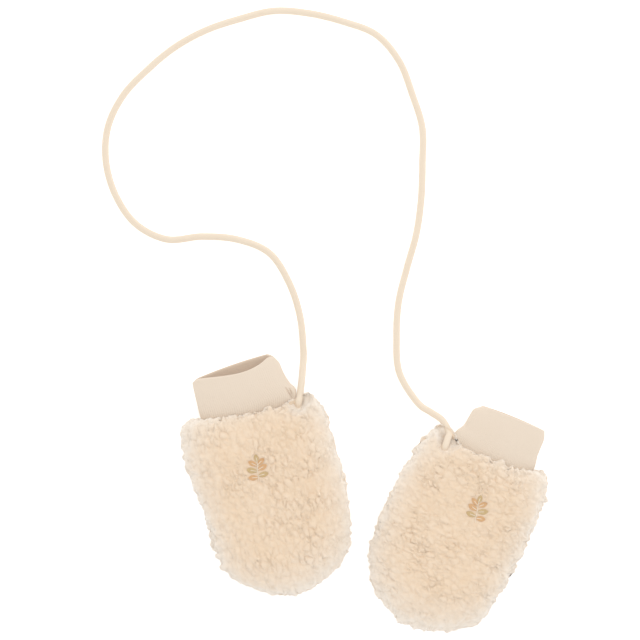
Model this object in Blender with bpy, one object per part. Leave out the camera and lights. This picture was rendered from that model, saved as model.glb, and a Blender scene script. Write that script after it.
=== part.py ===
"""Pair of baby mittens: two thumbless sherpa mittens with rib-knit cuffs, joined by one round cord, laid flat.

Each mitten is a back panel and a palm panel, sewn together round the sides and the tip, and a doubled rib cuff
sewn into their opening. The cord is sewn into both cuff seams, at the side of each mitten that faces the other.

A mitten is drawn in its own frame. "along" runs from the cuff seam to the tip, "across" from the free side to the
cord side, and heights are above the surface that it lies on.
"""

import math

import bmesh
import bpy
import numpy as np
from mathutils import Vector, noise

# ---------------------------------------------------------------- driving dimensions, in metres
SEAM_GAP = 0.0003  # between two pieces that are sewn together
SEAM_HEIGHT = 0.0100  # the side seam, above the surface
PILE_WALL = 0.0065  # sherpa cloth with its pile, at the sides and the tip
HAND_SPACE = 0.0040  # half the height of the space for the hand
CUFF_WALL = 0.0020  # rib knit, doubled
CUFF_TUCK = 0.0035  # how far the cuff's seam lies inside the edge of the pile
CUFF_EASE = 0.0010  # round the cuff, inside the pile
CORD_DIAMETER = 0.0040

BACK_COLUMNS = 20
PALM_COLUMNS = 14
BACK_ROUNDING = 2.6  # exponent of the back's cross-section: 2 is an ellipse, more is squarer
PALM_ROUNDING = 3.2
HAND_ROUNDING = 3.0
TIP_SET_BACK = 0.18  # how much flatter the tip's curve is inside
TUFT_PITCH = 0.0075  # the pile's curls, as lumps of the outer face
TUFT_RISE = 0.0022
LIES_FLAT_BELOW = 0.0040  # lumps fade out under this height, because the palm rests on its face

RIBS = 96  # round each cuff
RIB_RISE = 0.0003
INNER_POINTS = RIBS // 2
CUFF_ROUNDING = 2.3
LIP_ROUND = 0.0006  # how far the cuff's folded edge stands past its walls

CORD_POINTS = 80
CORD_RESOLUTION = 2

# ---------------------------------------------------------------- tables
# One row for each section of a mitten, from the edge of the pile at the cuff to the tip. along is where the
# section meets the two sides, skew moves its cord end towards the tip and its free end away from it, and bow
# moves its middle. free and cord are its half widths, crown is the top and belly the underside, which is cut
# off level with the surface.
BODY_COLUMNS = ("along", "skew", "bow", "free", "cord", "crown", "belly")
LEFT_BODY = (
    (-0.0008, 0.0037, 0.0023, 0.0312, 0.0303, 0.0172, 0.0018),
    (-0.0009, 0.0016, 0.0044, 0.0356, 0.0362, 0.0190, 0.0006),
    (0.0028, 0.0014, 0.0038, 0.0386, 0.0392, 0.0204, -0.0002),
    (0.0090, 0.0012, 0.0028, 0.0403, 0.0414, 0.0214, -0.0006),
    (0.0170, 0.0010, 0.0018, 0.0412, 0.0421, 0.0220, -0.0010),
    (0.0270, 0.0006, 0.0010, 0.0414, 0.0424, 0.0222, -0.0010),
    (0.0390, 0.0002, 0.0004, 0.0406, 0.0420, 0.0222, -0.0010),
    (0.0510, 0.0000, 0.0000, 0.0401, 0.0410, 0.0222, -0.0010),
    (0.0630, 0.0000, 0.0006, 0.0398, 0.0404, 0.0220, -0.0010),
    (0.0740, 0.0000, 0.0025, 0.0392, 0.0380, 0.0214, -0.0008),
    (0.0830, 0.0000, 0.0055, 0.0376, 0.0350, 0.0200, -0.0004),
    (0.0895, 0.0000, 0.0088, 0.0346, 0.0322, 0.0176, 0.0008),
    (0.0935, 0.0000, 0.0107, 0.0306, 0.0294, 0.0142, 0.0036),
    (0.0955, 0.0000, 0.0114, 0.0282, 0.0275, 0.0100, 0.0100),
)
RIGHT_BODY = (
    (0.0010, 0.0023, 0.0031, 0.0262, 0.0288, 0.0172, 0.0018),
    (0.0003, -0.0002, 0.0058, 0.0300, 0.0348, 0.0190, 0.0006),
    (0.0040, -0.0008, 0.0052, 0.0326, 0.0392, 0.0204, -0.0002),
    (0.0098, -0.0004, 0.0040, 0.0340, 0.0416, 0.0214, -0.0006),
    (0.0170, 0.0000, 0.0028, 0.0352, 0.0432, 0.0220, -0.0010),
    (0.0270, 0.0000, 0.0014, 0.0353, 0.0450, 0.0222, -0.0010),
    (0.0390, 0.0000, 0.0004, 0.0353, 0.0460, 0.0222, -0.0010),
    (0.0510, 0.0000, 0.0000, 0.0349, 0.0464, 0.0222, -0.0010),
    (0.0630, 0.0000, 0.0006, 0.0338, 0.0457, 0.0220, -0.0010),
    (0.0740, 0.0002, 0.0027, 0.0326, 0.0440, 0.0214, -0.0008),
    (0.0830, 0.0006, 0.0050, 0.0320, 0.0412, 0.0200, -0.0004),
    (0.0895, 0.0010, 0.0082, 0.0302, 0.0374, 0.0176, 0.0008),
    (0.0935, 0.0014, 0.0112, 0.0280, 0.0344, 0.0142, 0.0036),
    (0.0955, 0.0015, 0.0120, 0.0258, 0.0322, 0.0100, 0.0100),
)

# One row for each ring of a cuff, from its seam to its mouth. The first four columns place the folds at its two
# sides, middle is their height, rise and drop are the outside of the two layers above and below it, and pulled
# is how far the upper layer's edge is drawn back towards the seam.
CUFF_COLUMNS = ("free_along", "free", "cord_along", "cord", "bow", "middle", "rise", "drop", "pulled")
LEFT_CUFF = (
    (-0.0008, 0.0256, 0.0052, 0.0268, 0.0030, 0.0100, 0.0052, 0.0052, 0.0000),
    (-0.0070, 0.0258, -0.0030, 0.0292, 0.0020, 0.0094, 0.0054, 0.0053, 0.0004),
    (-0.0115, 0.0255, -0.0082, 0.0272, 0.0010, 0.0086, 0.0056, 0.0055, 0.0010),
    (-0.0165, 0.0252, -0.0145, 0.0262, 0.0002, 0.0077, 0.0059, 0.0058, 0.0020),
    (-0.0212, 0.0249, -0.0212, 0.0255, -0.0004, 0.0069, 0.0062, 0.0061, 0.0036),
    (-0.0248, 0.0246, -0.0262, 0.0243, -0.0010, 0.0064, 0.0064, 0.0062, 0.0054),
)
RIGHT_CUFF = (
    (0.0028, 0.0226, 0.0040, 0.0246, 0.0046, 0.0100, 0.0052, 0.0052, 0.0000),
    (-0.0040, 0.0222, -0.0028, 0.0262, 0.0030, 0.0092, 0.0052, 0.0052, 0.0000),
    (-0.0085, 0.0214, -0.0078, 0.0236, 0.0016, 0.0082, 0.0052, 0.0052, 0.0000),
    (-0.0135, 0.0213, -0.0134, 0.0228, 0.0006, 0.0072, 0.0052, 0.0052, 0.0000),
    (-0.0188, 0.0212, -0.0182, 0.0220, 0.0000, 0.0062, 0.0052, 0.0052, 0.0002),
    (-0.0226, 0.0198, -0.0214, 0.0186, -0.0008, 0.0054, 0.0052, 0.0052, 0.0004),
)

# place is the middle of the cuff seam, lean the turn away from straight down, and hand is 1 where the cord side
# faces +X and -1 where it faces -X.
MITTENS = {
    "left": {"place": (-0.0652, 0.0459), "lean": 17.4, "hand": 1, "body": LEFT_BODY, "cuff": LEFT_CUFF},
    "right": {"place": (0.0748, 0.0213), "lean": 23.9, "hand": -1, "body": RIGHT_BODY, "cuff": RIGHT_CUFF},
}

# The cord, from the left mitten's seam to the right one's: up off each seam, down to the surface, and round in
# one loose loop.
CORD_ROUTE = (
    (-0.0354, 0.0545, 0.0100),
    (-0.0344, 0.0622, 0.0080),
    (-0.0337, 0.0710, 0.0040),
    (-0.0334, 0.0795, 0.0020),
    (-0.0354, 0.0992, 0.0020),
    (-0.0416, 0.1181, 0.0020),
    (-0.0526, 0.1346, 0.0020),
    (-0.0706, 0.1422, 0.0020),
    (-0.0904, 0.1439, 0.0020),
    (-0.1102, 0.1423, 0.0020),
    (-0.1277, 0.1509, 0.0020),
    (-0.1391, 0.1670, 0.0020),
    (-0.1446, 0.1861, 0.0020),
    (-0.1434, 0.2058, 0.0020),
    (-0.1347, 0.2236, 0.0020),
    (-0.1210, 0.2380, 0.0020),
    (-0.1056, 0.2506, 0.0020),
    (-0.0881, 0.2601, 0.0020),
    (-0.0693, 0.2664, 0.0020),
    (-0.0500, 0.2709, 0.0020),
    (-0.0301, 0.2695, 0.0020),
    (-0.0108, 0.2648, 0.0020),
    (0.0076, 0.2575, 0.0020),
    (0.0205, 0.2426, 0.0020),
    (0.0278, 0.2241, 0.0020),
    (0.0335, 0.2051, 0.0020),
    (0.0336, 0.1852, 0.0020),
    (0.0329, 0.1653, 0.0020),
    (0.0302, 0.1456, 0.0020),
    (0.0249, 0.1264, 0.0020),
    (0.0202, 0.1071, 0.0020),
    (0.0190, 0.0873, 0.0020),
    (0.0205, 0.0675, 0.0020),
    (0.0306, 0.0507, 0.0020),
    (0.0386, 0.0449, 0.0042),
    (0.0446, 0.0406, 0.0080),
    (0.0480, 0.0338, 0.0100),
)

# ---------------------------------------------------------------- colours: base, roughness
SHERPA = ((0.82, 0.66, 0.49, 1.0), 0.95)
RIB_KNIT = ((0.84, 0.72, 0.60, 1.0), 0.85)
CORD = ((0.90, 0.79, 0.66, 1.0), 0.80)


# ---------------------------------------------------------------- helpers
def fresh_collection(name):
    for item in list(bpy.data.objects):
        bpy.data.objects.remove(item, do_unlink=True)
    collection = bpy.data.collections.new(name)
    bpy.context.scene.collection.children.link(collection)
    return collection


def finish(name, look):
    colour, roughness = look
    material = bpy.data.materials.new(name)
    material.use_nodes = True
    shader = material.node_tree.nodes["Principled BSDF"]
    shader.inputs["Base Color"].default_value = colour
    shader.inputs["Roughness"].default_value = roughness
    shader.inputs["Metallic"].default_value = 0.0
    material.diffuse_color = colour
    return material


def smooth_rows(rows, steps):
    """The rows, with steps - 1 more between each two, on a Catmull-Rom curve through every column."""
    rows = np.array(rows)
    padded = np.vstack([2 * rows[0] - rows[1], rows, 2 * rows[-1] - rows[-2]])
    found = []
    for before, start, end, after in zip(padded, padded[1:], padded[2:], padded[3:]):
        for step in range(steps):
            t = step / steps
            found.append(
                0.5 * (2 * start + (end - before) * t + (2 * before - 5 * start + 4 * end - after) * t**2
                       + (3 * start - before - 3 * end + after) * t**3)
            )
    found.append(rows[-1])
    return np.array(found)


def evenly(points, count):
    """count points at equal distances along a line of many points, both ends included."""
    length = np.concatenate([[0.0], np.cumsum(np.linalg.norm(np.diff(points, axis=0), axis=1))])
    wanted = np.linspace(0.0, length[-1], count)
    return np.stack([np.interp(wanted, length, column) for column in points.T], axis=1)


def rounded(share, exponent):
    """The height of a rounded section, from 1 in its middle to 0 at its ends, where share is -1 and 1."""
    return (1.0 - np.abs(share) ** exponent).clip(0.0) ** (1.0 / exponent)


def in_place(mitten, along, across, height):
    """Points in the mitten's own frame, which is turned and carried to its place as a whole."""
    return np.stack([mitten["hand"] * across, -along, height], axis=-1)


def add_object(name, data, material, collection, parent=None):
    data.materials.append(material)
    item = bpy.data.objects.new(name, data)
    item.parent = parent
    collection.objects.link(item)
    return item


def bridge(bm, near, far):
    """Faces between two closed rings. One may have several points for each point of the other."""
    if len(near) < len(far):
        near, far = far, near
    ratio = len(near) // len(far)
    for index, corner in enumerate(far):
        edge = [near[(index * ratio + step) % len(near)] for step in range(ratio + 1)]
        bm.faces.new(edge + [far[(index + 1) % len(far)], corner])


def closed_mesh(name, rings, capped):
    """A mesh through the rings: capped with a strip at both ends, or else joined from the last to the first."""
    bm = bmesh.new()
    corners = [[bm.verts.new(point) for point in ring] for ring in rings]
    for near, far in zip(corners, corners[1:]):
        bridge(bm, near, far)
    if capped:
        for ring in (corners[0], corners[-1]):
            for step in range(len(ring) // 2 - 1):
                bm.faces.new((ring[step], ring[step + 1], ring[-2 - step], ring[-1 - step]))
    else:
        bridge(bm, corners[-1], corners[0])
    bmesh.ops.triangulate(bm, faces=bm.faces, quad_method="SHORT_EDGE", ngon_method="BEAUTY")
    bmesh.ops.recalc_face_normals(bm, faces=bm.faces)
    if bm.calc_volume(signed=True) < 0:
        bmesh.ops.reverse_faces(bm, faces=bm.faces)
    mesh = bpy.data.meshes.new(name)
    bm.to_mesh(mesh)
    bm.free()
    mesh.shade_smooth()
    mesh.set_sharp_from_angle(angle=math.radians(50))
    return mesh


# ---------------------------------------------------------------- sherpa panels
def tufted(points, seam_edge):
    """Points of an outer face pushed out and in by the pile's curls. Those on the seam stay level with it."""
    facing = np.cross(np.gradient(points, axis=0), np.gradient(points, axis=1))
    facing /= np.linalg.norm(facing, axis=-1, keepdims=True)
    middle = points.mean(axis=(0, 1))
    inward = ((points - middle) * facing).sum() < 0
    facing *= -1 if inward else 1
    facing[seam_edge, 2] = 0.0
    lump = np.array([[noise.noise(Vector(point) / TUFT_PITCH) for point in row] for row in points])
    fade = (points[..., 2] / LIES_FLAT_BELOW).clip(0.0, 1.0)
    moved = points + facing * (TUFT_RISE * lump * fade)[..., None]
    moved[..., 2] = moved[..., 2].clip(0.0)
    return moved


def outer_face(mitten, rows, share, upper):
    """The grid of points of one panel's outer face, with a row for each section."""
    seam = SEAM_HEIGHT + (SEAM_GAP / 2 if upper else -SEAM_GAP / 2)
    along, skew, bow, free, cord, crown, belly = (column[:, None] for column in rows.T)
    across = (free + cord) / 2 * share + (cord - free) / 2
    along = along + skew * share + bow * (1 - share**2)
    if upper:
        height = seam + (crown - SEAM_HEIGHT) * rounded(share, BACK_ROUNDING)
    else:
        height = seam + (belly - SEAM_HEIGHT) * rounded(share, PALM_ROUNDING)
    seam_edge = np.zeros(across.shape, bool)
    seam_edge[:, [0, -1]] = True
    seam_edge[-1] = True
    height[seam_edge] = seam
    return tufted(in_place(mitten, along, across, height.clip(0.0)), seam_edge)


def cuff_line(ring, across):
    """How far along a cuff's ring lies, at a place across it."""
    share = (2 * across + ring["free"] - ring["cord"]) / (ring["free"] + ring["cord"])
    middle = (ring["free_along"] + ring["cord_along"]) / 2
    return middle + (ring["cord_along"] - middle) * share + ring["bow"] * (1 - share**2)


def seam_section(mitten, share, side, wall):
    """Points of a panel where the cuff is sewn to it, wall metres outside the cuff's outer face."""
    base = dict(zip(CUFF_COLUMNS, mitten["cuff"][0]))
    free, cord, rise = base["free"] + wall, base["cord"] + wall, base["rise"] + wall
    across = (free + cord) / 2 * share + (cord - free) / 2
    height = SEAM_HEIGHT + side * (SEAM_GAP / 2 + rise * rounded(share, CUFF_ROUNDING))
    return in_place(mitten, cuff_line(base, across) + SEAM_GAP, across, height)


def hand_section(mitten, table, share, side, t):
    """Points of a panel round the space for the hand, from t = 0 at the cuff to 1 inside the tip."""
    start = table["along"][0] + CUFF_TUCK
    along = start + (table["along"][-1] - PILE_WALL / 2 - start) * t
    here = {name: np.interp(along, table["along"], column) for name, column in table.items()}
    free, cord = here["free"] - PILE_WALL, here["cord"] - PILE_WALL
    across = (free + cord) / 2 * share + (cord - free) / 2
    along = along + here["skew"] * share + here["bow"] * (1 - TIP_SET_BACK * t) * (1 - share**2)
    height = SEAM_HEIGHT + side * (SEAM_GAP / 2 + HAND_SPACE * rounded(t, 6.0) * rounded(share, HAND_ROUNDING))
    return in_place(mitten, along, across, height)


def inner_face(mitten, rows, share, upper):
    """The grid of points of the same panel's inside. Its first two sections are the seam with the cuff."""
    side = 1 if upper else -1
    table = dict(zip(BODY_COLUMNS, rows.T))
    seam = [seam_section(mitten, share, side, wall) for wall in (CUFF_EASE, -CUFF_WALL)]
    steps = np.linspace(0.0, 1.0, len(rows) - 1)[1:]
    return np.array(seam + [hand_section(mitten, table, share, side, t) for t in steps])


def panel(name, mitten, upper, material, collection, parent):
    columns = BACK_COLUMNS if upper else PALM_COLUMNS
    share = np.sin(np.linspace(-math.pi / 2, math.pi / 2, columns + 1))
    rows = smooth_rows(mitten["body"], 2)
    outside = outer_face(mitten, rows, share, upper)
    inside = inner_face(mitten, rows, share, upper)
    rings = [np.vstack([out, back[::-1]]) for out, back in zip(outside, inside)]
    return add_object(name, closed_mesh(name, rings, capped=True), material, collection, parent)


# ---------------------------------------------------------------- cuffs
def cuff_ring(mitten, row, inset, past, count):
    """One ring of a cuff, from the free side over the top to the cord side and back below, inset from its outside."""
    ring = dict(zip(CUFF_COLUMNS, row))
    share = np.sin(np.linspace(-math.pi / 2, math.pi / 2, 200))
    free, cord = ring["free"] - inset, ring["cord"] - inset
    across = (free + cord) / 2 * share + (cord - free) / 2
    along = cuff_line(ring, across) - past
    drawn = ring["pulled"] * (1 - share**2) * (1 + 0.55 * share)
    lens = rounded(share, CUFF_ROUNDING)
    top = in_place(mitten, along + drawn, across, ring["middle"] + (ring["rise"] - inset) * lens)
    under = in_place(mitten, along, across, ring["middle"] - (ring["drop"] - inset) * lens)
    return np.vstack([evenly(top, count // 2 + 1)[:-1], evenly(under[::-1], count // 2 + 1)[:-1]])


def ribbed(ring):
    """The ring's points, with every second one raised off the cloth."""
    edge = np.roll(ring, -1, axis=0) - np.roll(ring, 1, axis=0)
    out = np.cross(edge, (0.0, 1.0, 0.0))
    out /= np.linalg.norm(out, axis=1, keepdims=True)
    away = ((ring - ring.mean(axis=0)) * out).sum()
    raised = ring + out * math.copysign(RIB_RISE, away) * (np.arange(len(ring)) % 2)[:, None]
    raised[:, 2] = raised[:, 2].clip(0.0)
    return raised


def cuff(name, mitten, material, collection, parent):
    rows = mitten["cuff"]
    outside = [ribbed(cuff_ring(mitten, row, 0.0, 0.0, 2 * RIBS)) for row in rows]
    crest = cuff_ring(mitten, rows[-1], CUFF_WALL / 2, LIP_ROUND, INNER_POINTS)
    inside = [cuff_ring(mitten, row, CUFF_WALL, 0.0, INNER_POINTS) for row in reversed(rows)]
    rings = outside + [crest] + inside
    return add_object(name, closed_mesh(name, rings, capped=False), material, collection, parent)


# ---------------------------------------------------------------- cord
def cord(name, material, collection):
    curve = bpy.data.curves.new(name, "CURVE")
    curve.dimensions = "3D"
    curve.bevel_depth = CORD_DIAMETER / 2
    curve.bevel_resolution = CORD_RESOLUTION
    curve.use_fill_caps = True
    points = evenly(smooth_rows(CORD_ROUTE, 12), CORD_POINTS)
    points[:, 2] = points[:, 2].clip(CORD_DIAMETER / 2)
    spline = curve.splines.new("POLY")
    spline.points.add(len(points) - 1)
    for place, point in zip(spline.points, points):
        place.co = (*point, 1.0)
    return add_object(name, curve, material, collection)


# ---------------------------------------------------------------- the pair
def main():
    collection = fresh_collection("baby_mittens")
    sherpa, rib_knit = finish("sherpa", SHERPA), finish("rib_knit", RIB_KNIT)
    for side, mitten in MITTENS.items():
        parent = bpy.data.objects.new(side + "_mitten", None)
        parent.location = (*mitten["place"], 0.0)
        parent.rotation_euler = (0.0, 0.0, math.radians(mitten["hand"] * mitten["lean"]))
        collection.objects.link(parent)
        panel(side + "_back", mitten, True, sherpa, collection, parent)
        panel(side + "_palm", mitten, False, sherpa, collection, parent)
        cuff(side + "_cuff", mitten, rib_knit, collection, parent)
    cord("cord", finish("cord", CORD), collection)


main()
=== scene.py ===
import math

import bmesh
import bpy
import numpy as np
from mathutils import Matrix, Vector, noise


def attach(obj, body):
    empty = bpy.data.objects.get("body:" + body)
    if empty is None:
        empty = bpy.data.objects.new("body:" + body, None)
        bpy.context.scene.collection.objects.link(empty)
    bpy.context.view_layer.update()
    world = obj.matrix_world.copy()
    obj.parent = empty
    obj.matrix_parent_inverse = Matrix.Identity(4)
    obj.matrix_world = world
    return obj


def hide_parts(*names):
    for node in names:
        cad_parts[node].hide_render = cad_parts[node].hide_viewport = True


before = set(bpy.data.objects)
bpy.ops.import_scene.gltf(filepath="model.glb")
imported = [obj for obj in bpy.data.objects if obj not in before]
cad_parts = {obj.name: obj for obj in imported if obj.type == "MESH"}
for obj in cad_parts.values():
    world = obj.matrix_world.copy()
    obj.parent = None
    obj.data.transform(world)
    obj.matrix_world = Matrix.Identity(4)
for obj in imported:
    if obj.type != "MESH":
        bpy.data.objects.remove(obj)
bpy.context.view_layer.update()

# %% [markdown]
# # A pair of baby mittens on a cord
#
# Two mittens without thumbs are cut from sherpa, a knitted cloth with a deep pile of small wool-like curls.
# Each ends in a doubled rib-knit cuff, and one soft round cord joins the two, so that neither is lost.
# They lie flat, backs up, and the cord lies above them in one loose loop.
#
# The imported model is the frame: it holds one solid for each cut piece. Every piece made below is cloth, pile,
# knit or thread in the place of one of those solids.

print("solids:", sorted(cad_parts))

# %% [markdown]
# ## The camera
#
# The pair is seen from straight above, as if laid on a table for a catalogue. A long lens from 1.5 m keeps the
# mittens free of perspective, and the frame is 358 mm wide where the cloth is.

# %% Camera
VIEW_MIDDLE = (-0.0241, 0.0969)
VIEW_WIDTH = 0.3584  # what the picture spans, at the next height
VIEW_HEIGHT = 0.010
CAMERA_HEIGHT = 1.5
SENSOR_WIDTH = 36.0  # in millimetres, as the lens is

lens = bpy.data.cameras.new("camera")
lens.sensor_fit = "HORIZONTAL"
lens.sensor_width = SENSOR_WIDTH
lens.lens = SENSOR_WIDTH * (CAMERA_HEIGHT - VIEW_HEIGHT) / VIEW_WIDTH
lens.clip_end = 10.0
camera = bpy.data.objects.new("camera", lens)
camera.location = (*VIEW_MIDDLE, CAMERA_HEIGHT)
bpy.context.scene.collection.objects.link(camera)
bpy.context.scene.camera = camera
print("lens:", round(lens.lens, 1), "mm")

# %% [markdown]
# ## Wires
#
# Materials and Geometry Nodes are both made of nodes whose sockets are joined. Placing them by hand in code is
# long, so one small class stands for a socket. Python's own operators on it add Math nodes, and its one method
# adds any other node: the node's settings come first, then the values or the wires of its sockets.


# %% A wire
def operator(operation, reflected=False):
    """What one of Python's operators does to a wire: it adds a Math node."""
    def method(self, other):
        return self.maths(operation, *((other, self) if reflected else (self, other)))
    return method


class Wire:
    """A socket in a node tree. Operators between wires and numbers add Math nodes."""

    def __init__(self, tree, socket=None):
        self.tree = tree
        self.socket = socket

    def node(self, kind, settings=None, sockets=None, out=0):
        """Adds a node to this wire's tree and returns one of the new node's outputs."""
        made = self.tree.nodes.new(kind)
        for name, value in (settings or {}).items():
            setattr(made, name, value)
        for name, value in (sockets or {}).items():
            if isinstance(value, Wire):
                self.tree.links.new(value.socket, made.inputs[name])
            else:
                made.inputs[name].default_value = value
        return Wire(self.tree, made.outputs[out])

    def also(self, out):
        """Another output of the node that this wire comes from."""
        return Wire(self.tree, self.socket.node.outputs[out])

    def maths(self, operation, *values):
        return self.node("ShaderNodeMath", {"operation": operation}, dict(enumerate(values)))


OPERATIONS = {"add": "ADD", "sub": "SUBTRACT", "mul": "MULTIPLY", "truediv": "DIVIDE", "pow": "POWER"}
for word, operation in OPERATIONS.items():
    setattr(Wire, f"__{word}__", operator(operation))
    setattr(Wire, f"__r{word}__", operator(operation, reflected=True))
print("operators:", ", ".join(OPERATIONS))

# %% [markdown]
# ## Finishes and trees
#
# A finish is a material with one Principled shader. A number that is the same all over goes straight on the
# shader's own socket, and only what changes over the surface is wired to it. A tree of Geometry Nodes is a small
# machine with named inputs. It grows a piece from a plain mesh or a curve, and what it made is read out as a plain
# mesh, so that no modifier is left on the piece.

# %% A finish
def finish(name, paint, **numbers):
    """A material whose paint(wire) returns what changes over the surface, by socket name."""
    material = bpy.data.materials.new(name)
    material.use_nodes = True
    tree = material.node_tree
    shader = tree.nodes["Principled BSDF"]
    for socket, value in numbers.items():
        shader.inputs[socket.replace("_", " ")].default_value = value
    for socket, wire in paint(Wire(tree)).items():
        tree.links.new(wire.socket, shader.inputs[socket])
    print("finish:", name)
    return material


# %% A tree, and the piece that it grows
INPUT_KINDS = {"Points Round": "NodeSocketInt", "Seed": "NodeSocketInt", "Material": "NodeSocketMaterial"}


def tree_of(name, labels, build):
    """A node group with named inputs. build(inputs) gets them as wires and returns the finished geometry."""
    tree = bpy.data.node_groups.new(name, "GeometryNodeTree")
    tree.interface.new_socket("Geometry", in_out="INPUT", socket_type="NodeSocketGeometry")
    for label in labels:
        tree.interface.new_socket(label, in_out="INPUT", socket_type=INPUT_KINDS.get(label, "NodeSocketFloat"))
    tree.interface.new_socket("Geometry", in_out="OUTPUT", socket_type="NodeSocketGeometry")
    inputs = Wire(tree).node("NodeGroupInput")
    result = build(inputs)
    tree.links.new(result.socket, tree.nodes.new("NodeGroupOutput").inputs[0])
    print("tree:", name, "with", ", ".join(labels), "and", len(tree.nodes), "nodes")
    return tree


def grown(name, source, tree, values):
    """The plain mesh that the tree makes of a source mesh or curve, as a new object."""
    holder = bpy.data.objects.new(name + "_source", source)
    bpy.context.scene.collection.objects.link(holder)
    modifier = holder.modifiers.new(name, "NODES")
    modifier.node_group = tree
    for item in tree.interface.items_tree:
        if item.in_out == "INPUT" and item.name in values:
            modifier[item.identifier] = values[item.name]
    evaluated = holder.evaluated_get(bpy.context.evaluated_depsgraph_get())
    mesh = bpy.data.meshes.new_from_object(evaluated)
    mesh.name = name
    bpy.data.objects.remove(holder)
    return shown(name, mesh)


def mesh_of(name, points, faces):
    mesh = bpy.data.meshes.new(name)
    mesh.from_pydata(np.reshape(points, (-1, 3)).tolist(), [], faces)
    return mesh


def shown(name, mesh):
    """A mesh as an object in the scene."""
    piece = bpy.data.objects.new(name, mesh)
    bpy.context.scene.collection.objects.link(piece)
    return piece


def triangles(piece):
    piece.data.calc_loop_triangles()
    return len(piece.data.loop_triangles)


print("inputs that are not plain numbers:", ", ".join(INPUT_KINDS))


# %% [markdown]
# ## The cord
#
# The cord is a soft round braid, 4 mm thick. It leaves the left mitten at the corner of its cuff seam, drops to
# the table, runs round in one loop and climbs into the right mitten's seam. Each end is sewn in under the pile, so
# it runs on for a little into the fur.
#
# Its solid follows the same route between the two seams. Such a braid is a closed tube: eight strands run round it
# each way, and pass over and under each other. Modelling each strand leaves gaps between them, so one tube is
# drawn along the route, and Geometry Nodes raise the pattern of the strands on it.

# %% The route's points
CORD_DIAMETER = 0.0040
DOWN_FROM_LEFT = ((-0.0354, 0.0545, 0.0100), (-0.0344, 0.0622, 0.0080), (-0.0337, 0.0710, 0.0040))
ON_TABLE = (
    (-0.0334, 0.0795), (-0.0354, 0.0992), (-0.0416, 0.1181), (-0.0526, 0.1346), (-0.0706, 0.1422),
    (-0.0904, 0.1439), (-0.1102, 0.1423), (-0.1277, 0.1509), (-0.1391, 0.1670), (-0.1446, 0.1861),
    (-0.1434, 0.2058), (-0.1347, 0.2236), (-0.1210, 0.2380), (-0.1056, 0.2506), (-0.0881, 0.2601),
    (-0.0693, 0.2664), (-0.0500, 0.2709), (-0.0301, 0.2695), (-0.0108, 0.2648), (0.0076, 0.2575),
    (0.0205, 0.2426), (0.0278, 0.2241), (0.0335, 0.2051), (0.0336, 0.1852), (0.0329, 0.1653),
    (0.0302, 0.1456), (0.0249, 0.1264), (0.0202, 0.1071), (0.0190, 0.0873), (0.0205, 0.0675),
    (0.0306, 0.0507),
)
UP_TO_RIGHT = ((0.0386, 0.0449, 0.0042), (0.0446, 0.0406, 0.0080), (0.0480, 0.0338, 0.0100))
CORD_ROUTE = DOWN_FROM_LEFT + tuple((x, y, CORD_DIAMETER / 2) for x, y in ON_TABLE) + UP_TO_RIGHT
SEWN_IN_LEFT = ((-0.0366, 0.0478, 0.0104), (-0.0361, 0.0508, 0.0122))
SEWN_IN_RIGHT = ((0.0470, 0.0300, 0.0140), (0.0457, 0.0264, 0.0160), (0.0450, 0.0236, 0.0142))
print("the route has", len(CORD_ROUTE), "points, and", len(SEWN_IN_LEFT + SEWN_IN_RIGHT), "more in the fur")

# %% A smooth line through points
ABOVE_TABLE = 0.0001  # nothing comes nearer to the table
ROUTE_STEPS = 12


def smooth_rows(rows, steps):
    """The rows, with steps - 1 more between each two, on a Catmull-Rom curve through every column."""
    rows = np.array(rows)
    padded = np.vstack([2 * rows[0] - rows[1], rows, 2 * rows[-1] - rows[-2]])
    found = []
    for before, start, end, after in zip(padded, padded[1:], padded[2:], padded[3:]):
        for step in range(steps):
            t = step / steps
            found.append(
                0.5 * (2 * start + (end - before) * t + (2 * before - 5 * start + 4 * end - after) * t**2
                       + (3 * start - before - 3 * end + after) * t**3)
            )
    found.append(rows[-1])
    return np.array(found)


def lengths(points):
    """How far each point lies along a line of points."""
    return np.concatenate([[0.0], np.cumsum(np.linalg.norm(np.diff(points, axis=0), axis=1))])


def evenly(points, count):
    """count points at equal distances along a line of many points, both ends included."""
    length = lengths(points)
    wanted = np.linspace(0.0, length[-1], count)
    return np.stack([np.interp(wanted, length, column) for column in points.T], axis=1)


route = smooth_rows(SEWN_IN_LEFT + CORD_ROUTE + SEWN_IN_RIGHT, ROUTE_STEPS)
route[:, 2] = route[:, 2].clip(CORD_DIAMETER / 2 + ABOVE_TABLE)
CORD_LENGTH = float(lengths(route)[-1])
print("cord:", round(1000 * CORD_LENGTH), "mm")


# %% Nodes that more than one tree uses
def kept(wire, geometry, name, value):
    """Stores a value on the points of a geometry, so that it is still known after a sweep."""
    return wire.node(
        "GeometryNodeStoreNamedAttribute", {"data_type": "FLOAT", "domain": "POINT"},
        {"Geometry": geometry, "Name": name, "Value": value},
    )


def known(wire, name):
    return wire.node("GeometryNodeInputNamedAttribute", {"data_type": "FLOAT"}, {"Name": name})


def vectors(wire, operation, first, second):
    """Vector Math. What scales a vector has a socket of its own."""
    second_socket = "Scale" if operation == "SCALE" else 1
    return wire.node("ShaderNodeVectorMath", {"operation": operation}, {0: first, second_socket: second})


def cloud(wire, place, scale, detail=0.0, out=0):
    return wire.node("ShaderNodeTexNoise", {}, {"Vector": place, "Scale": scale, "Detail": detail}, out)


def moved_out(wire, geometry, distance):
    """The geometry's points moved along their normals."""
    offset = vectors(wire, "SCALE", wire.node("GeometryNodeInputNormal"), distance)
    return wire.node("GeometryNodeSetPosition", {}, {"Geometry": geometry, "Offset": offset})


def circle_of(wire, points):
    """A circle of radius 1."""
    return wire.node("GeometryNodeCurvePrimitiveCircle", {"mode": "RADIUS"}, {"Resolution": points, "Radius": 1.0})


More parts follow.
